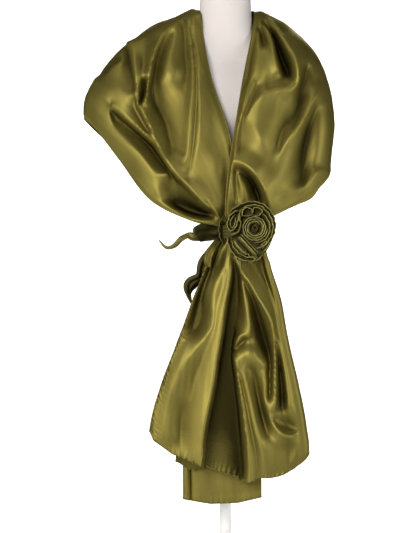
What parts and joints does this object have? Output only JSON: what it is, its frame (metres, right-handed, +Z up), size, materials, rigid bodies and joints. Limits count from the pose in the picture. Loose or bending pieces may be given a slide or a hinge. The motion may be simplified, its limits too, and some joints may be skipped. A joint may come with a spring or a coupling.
{
  "type": "evening stole on a bust form",
  "caption": "Satin evening stole draped on a limbless bust form and stand, crossed in front and gathered at the waist under a cloth rose, with two hanging tails.",
  "frame": {"origin": "centre of the stand's base on the floor", "axes": "+Z up along the pole, -Y towards the viewer, +X to the viewer's right"},
  "size_m": [0.508, 0.3335, 1.16],
  "materials": {
    "stole_satin": "olive satin with a soft sheen",
    "form_cover": "smooth matt, pale pinkish white",
    "stand_paint": "pale satin paint"
  },
  "bodies": {
    "root": {"bust_form": "form_cover", "stand_base": "stand_paint", "stand_foot_collar": "stand_paint", "stand_pole": "stand_paint", "stand_socket": "stand_paint", "wrap_left_front": "stole_satin", "wrap_back": "stole_satin", "wrap_right_front": "stole_satin", "tail_front": "stole_satin", "tail_back": "stole_satin", "rose_band": "stole_satin", "rose_backing": "stole_satin", "rose_heart": "stole_satin", "rose_petal_inner": "stole_satin", "rose_petal_right": "stole_satin", "rose_petal_outer": "stole_satin", "rose_petal_left": "stole_satin", "rose_petal_low": "stole_satin", "rose_petal_tuck": "stole_satin", "rose_petal_side": "stole_satin", "rose_fold_upper": "stole_satin", "rose_fold_lower": "stole_satin", "tie_end_upper": "stole_satin", "tie_end_lower": "stole_satin", "rose_leaf": "stole_satin"}
  },
  "joints": []
}
